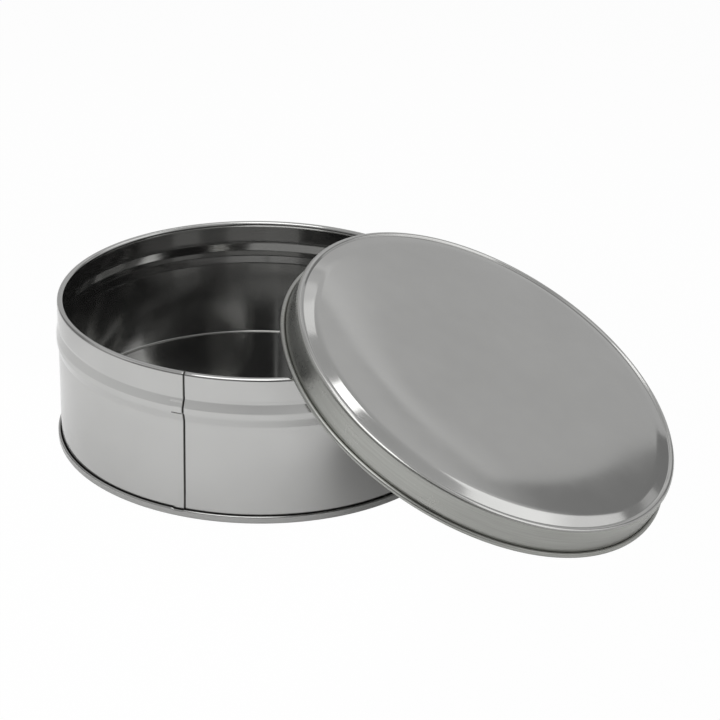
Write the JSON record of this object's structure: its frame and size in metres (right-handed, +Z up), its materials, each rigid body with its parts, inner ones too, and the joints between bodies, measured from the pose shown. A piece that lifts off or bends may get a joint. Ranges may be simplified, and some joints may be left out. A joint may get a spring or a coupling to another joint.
{
  "type": "candle tin",
  "caption": "Round shallow tinplate candle tin with a rolled rim, a stop bead and a seamed bottom, its slip lid leaning against the rim.",
  "frame": {"origin": "centre of the tin's base, in the plane of the bottom seam's resting face", "axes": "+Z up the tin's axis, +X from the tin's axis towards the leaning lid, so that the lid's tilt lies in the XZ plane"},
  "size_m": [0.2597, 0.1688, 0.0867],
  "materials": {
    "tinplate_wall": "bright rolled tinplate",
    "tinplate_bottom": "bright rolled tinplate",
    "tinplate_lid": "satin tinplate",
    "seam_compound": "matt sealing compound"
  },
  "bodies": {
    "tin": {"body_wall": "tinplate_wall", "bottom_end": "tinplate_bottom", "seam_compound": "seam_compound"},
    "lid": {"lid": "tinplate_lid"}
  },
  "joints": [
    {"name": "lid_lift", "type": "slide", "parent": "tin", "child": "lid", "axis": [0, 0, 1], "range_m": [0, 0.08]}
  ]
}
